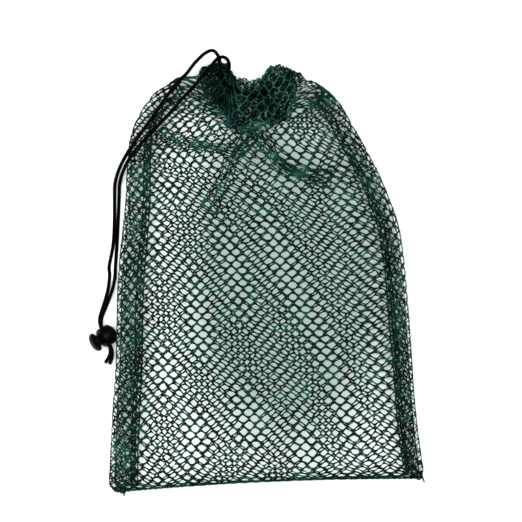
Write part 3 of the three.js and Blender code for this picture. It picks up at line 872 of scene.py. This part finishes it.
def betweenWalls(share, along, depth):
    foot = 1 - np.clip(along / seamSet["to"], 0, 1)
    left, right = (1 - taper * foot for taper in seamSet["taper"])
    share = np.where(share < 0.5, share * left, 1 - (1 - share) * right)
    front = foldOver(onCloth(frontCloth, share, along))
    back = onCloth(backCloth, share, along)
    return aboveFloor(front + (back - front) * depth)


def seamStrip(name, shares, cloth, depth, yarn, turn, material):
    # a strip of net squeezed between two shares of the width
    bm = flatNet(cloth, seamSet["to"], asKnitted)
    bmesh.ops.rotate(bm, verts=bm.verts, cent=(0, 0, 0), matrix=Matrix.Rotation(turn, 3, "Z"))
    trim(bm, (-cloth / 2, seamSet["from"]), (cloth / 2, seamSet["to"]))

    def place(flat):
        loose = drifted(flat, depth * 10)
        share = shares[0] + (shares[1] - shares[0]) * (loose[:, 0] / cloth + 0.5)
        return betweenWalls(share, loose[:, 1], depth)

    return knit(name, bm, place, yarn, material)


def threadPiece(name, points, radius):
    curve = bpy.data.curves.new(name, "CURVE")
    curve.dimensions = "3D"
    curve.use_fill_caps = True
    curve.bevel_depth = radius * mm
    curve.bevel_resolution = 1
    spline = curve.splines.new("POLY")
    spline.points.add(len(points) - 1)
    for point, place in zip(spline.points, points * mm):
        point.co = (*place, 1)
    thread = bakedCurve(addObject(name, curve))
    # the threads take the yarn with painted shade
    thread.data.materials.append(paintedShadeYarn)
    return thread


def overlockThread(name, share):
    # thread laid to and fro over the sewn edges
    along = np.arange(seamSet["from"], seamSet["to"], seamSet["stitch"])
    count = len(along)
    sideways, lengthways = seamSet["wander"]
    rng = np.random.default_rng(seamSet["seed"])
    side = np.where(np.arange(count) % 2, 1, -1) * seamSet["spread"] + rng.normal(0, sideways, count)
    points = betweenWalls(share + side, along + rng.normal(0, lengthways, count), seamSet["threadLift"])
    return threadPiece(name, points, seamSet["thread"])


seamPieces = {"left": [], "right": []}
for side, pieces in seamPieces.items():
    share, spread = seamSet[side], seamSet["spread"]
    outer = seamSet["inset"] if side == "left" else 1 - seamSet["inset"]
    # the left seam's top layer takes the yarn with painted light, the right one's the back net's yarn with
    # painted shade, and the lower layers the yarn with painted shade
    yarns = (edgeYarnPaintedLight if side == "left" else backYarn, paintedShadeYarn)
    for k, (depth, turn, yarn) in enumerate(zip(seamSet["layers"], seamSet["turns"], yarns)):
        pieces.append(seamStrip(f"{side}Edge{k + 1}", sorted((outer, share)), seamSet["cloth"], depth,
                                seamSet["yarn"], math.radians(turn), yarn))
    # the bunched edge along the seam takes the yarn with painted shade
    pieces.append(seamStrip(f"{side}Seam", (share - spread, share + spread), seamSet["cordWidth"],
                            seamSet["cordLift"], seamSet["cordYarn"], 0, seamYarnPaintedShade))
    pieces.append(overlockThread(f"{side}Overlock", share))

# knots where the seam threads end at the bottom corners: two loops that sway in and out, and a tail (mm)
knotSet = {
    "left": (-115.5, -171, 5), "right": (123, -160, 5), "size": 2.0, "thread": 0.55,
    "loops": 2, "points": 90, "sway": 0.3, "swayTurns": 1.5, "rise": 0.6,
    "tail": 5, "tailPoints": 9, "tailWay": (0.35, -1, -0.5),
}


def seamKnot(name, middle, way):
    turn = np.linspace(0, 2 * knotSet["loops"] * np.pi, knotSet["points"])
    size = knotSet["size"]
    sway = 1 + knotSet["sway"] * np.cos(knotSet["swayTurns"] * turn)
    loops = np.stack([size * np.cos(turn) * sway, size * np.sin(turn) * sway,
                      knotSet["rise"] * size * np.sin(knotSet["swayTurns"] * turn)], axis=1)
    out, down, sink = knotSet["tailWay"]
    along = np.linspace(0, 1, knotSet["tailPoints"] + 1)[1:, None]
    tail = loops[-1] + along * np.array([out * way, down, sink]) * knotSet["tail"]
    return threadPiece(name, aboveFloor(np.concatenate([loops, tail]) + np.array(middle)), knotSet["thread"])


for side, way in (("left", -1), ("right", 1)):
    seamPieces[side].append(seamKnot(f"{side}Knot", knotSet[side], way))
print("seams sewn")

# the cord lock: the two moulded pieces with their edges rounded (mm and degrees)
lockSet = {"weld": 0.01, "flat": 1, "edge": 0.45, "segments": 3, "angle": 32, "smooth": 40}


def mouldedPiece(name, node):
    bm = bmesh.new()
    bm.from_mesh(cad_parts[node].data)
    bm.transform(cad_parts[node].matrix_world)
    bmesh.ops.remove_doubles(bm, verts=bm.verts, dist=lockSet["weld"] * mm)
    bmesh.ops.dissolve_limit(bm, angle_limit=math.radians(lockSet["flat"]), verts=bm.verts, edges=bm.edges)
    sharp = [e for e in bm.edges if e.is_manifold and e.calc_face_angle(0) > math.radians(lockSet["angle"])]
    bmesh.ops.bevel(bm, geom=sharp, offset=lockSet["edge"] * mm, affect="EDGES", segments=lockSet["segments"],
                    profile=0.5, material=-1, clamp_overlap=True)
    bmesh.ops.triangulate(bm, faces=bm.faces)
    bmesh.ops.recalc_face_normals(bm, faces=bm.faces)
    obj = meshFrom(name, bm)
    obj.data.materials.append(nylon)
    shadeSmooth(obj)
    obj.data.set_sharp_from_angle(angle=math.radians(lockSet["smooth"]))
    return obj


lockBarrel = mouldedPiece("lockBarrel", "lock_barrel")
lockPlunger = mouldedPiece("lockPlunger", "lock_plunger")

# the solid that each piece stands for, its body and its slot
for node, body, slot, pieces in (
        ("lock_barrel", "sack", "lock", [lockBarrel]),
        ("lock_plunger", "plunger", "lock", [lockPlunger]),
        ("left_seam", "sack", "seam", seamPieces["left"]),
        ("right_seam", "sack", "seam", seamPieces["right"]),
        ("net_body", "sack", "net", [netFront, netBack, *foldStrips]),
        ("hem_casing", "sack", "net", [hemFront, hemInside, hemBack]),
        ("cord_in_hem", "sack", "cord", [hemCord]),
        ("cord_end_over", "sack", "cord", [cordOver]),
        ("cord_end_under", "sack", "cord", [cordUnder])):
    for piece in pieces:
        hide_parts(node)
        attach(piece, body)
print("pieces placed")

# white table and soft light
stageSet = {
    "size": 6, "paper": [(0.84, 0.89, 0.875), (0.87, 0.92, 0.905)], "grain": 800, "roughness": 0.8,
    # painted shadow under the sack: the paper is greyer below the sack's middle: where and how wide (m), how
    # it fades in, and how grey
    "paintedShadowAt": (0.018, 0, 0), "paintedShadowSize": (0.112, 0.19, 1), "paintedShadowFade": (0.05, 0.46),
    "paintedShadow": (0.43, 0.495, 0.465),
    # each lamp's power, size and place
    "keyLight": (62, 1.4, (-0.02, 0.1, 1.7)), "fillLight": (2, 1.8, (1.5, -0.8, 1.6)), "sky": 0.2,
}


def paperMaterial():
    mat, nodes, links, shader = newMaterial("whitePaper")
    coords = addNode(nodes, "TexCoord")
    grain = addNode(nodes, "TexNoise", {"Scale": stageSet["grain"]})
    links.new(coords.outputs["Object"], grain.inputs["Vector"])
    tint = ramp(nodes, (0, 1), stageSet["paper"])
    links.new(grain.outputs["Fac"], tint.inputs["Fac"])
    # painted shadow: a soft grey spot under the sack's middle, multiplied into the paper's colour
    mapping = addNode(nodes, "Mapping")
    mapping.vector_type = "TEXTURE"
    mapping.inputs["Location"].default_value = stageSet["paintedShadowAt"]
    mapping.inputs["Scale"].default_value = stageSet["paintedShadowSize"]
    links.new(coords.outputs["Object"], mapping.inputs["Vector"])
    spot = addNode(nodes, "TexGradient")
    spot.gradient_type = "SPHERICAL"
    links.new(mapping.outputs["Vector"], spot.inputs["Vector"])
    paintedShadow = ramp(nodes, stageSet["paintedShadowFade"], [(1, 1, 1), stageSet["paintedShadow"]])
    links.new(spot.outputs["Fac"], paintedShadow.inputs["Fac"])
    mix = addNode(nodes, "Mix")
    mix.data_type = "RGBA"
    mix.blend_type = "MULTIPLY"
    mix.inputs["Factor"].default_value = 1
    links.new(tint.outputs["Color"], mix.inputs["A"])
    links.new(paintedShadow.outputs["Color"], mix.inputs["B"])
    links.new(mix.outputs["Result"], shader.inputs["Base Color"])
    shader.inputs["Roughness"].default_value = stageSet["roughness"]
    return mat


def makeStage():
    bm = bmesh.new()
    bmesh.ops.create_grid(bm, x_segments=4, y_segments=4, size=stageSet["size"])
    table = meshFrom("whiteTable", bm)
    table.data.materials.append(paperMaterial())
    for name in ("keyLight", "fillLight"):
        power, size, place = stageSet[name]
        light = bpy.data.lights.new(name, "AREA")
        light.energy = power
        light.size = size
        lamp = addObject(name, light)
        lamp.location = place
        lamp.rotation_euler = (-Vector(place)).to_track_quat("-Z", "Y").to_euler()
    world = bpy.data.worlds.new("sky")
    world.use_nodes = True
    background = world.node_tree.nodes["Background"]
    background.inputs["Color"].default_value = (1, 1, 1, 1)
    background.inputs["Strength"].default_value = stageSet["sky"]
    bpy.context.scene.world = world
    bpy.context.scene.view_settings.view_transform = "Standard"


makeStage()
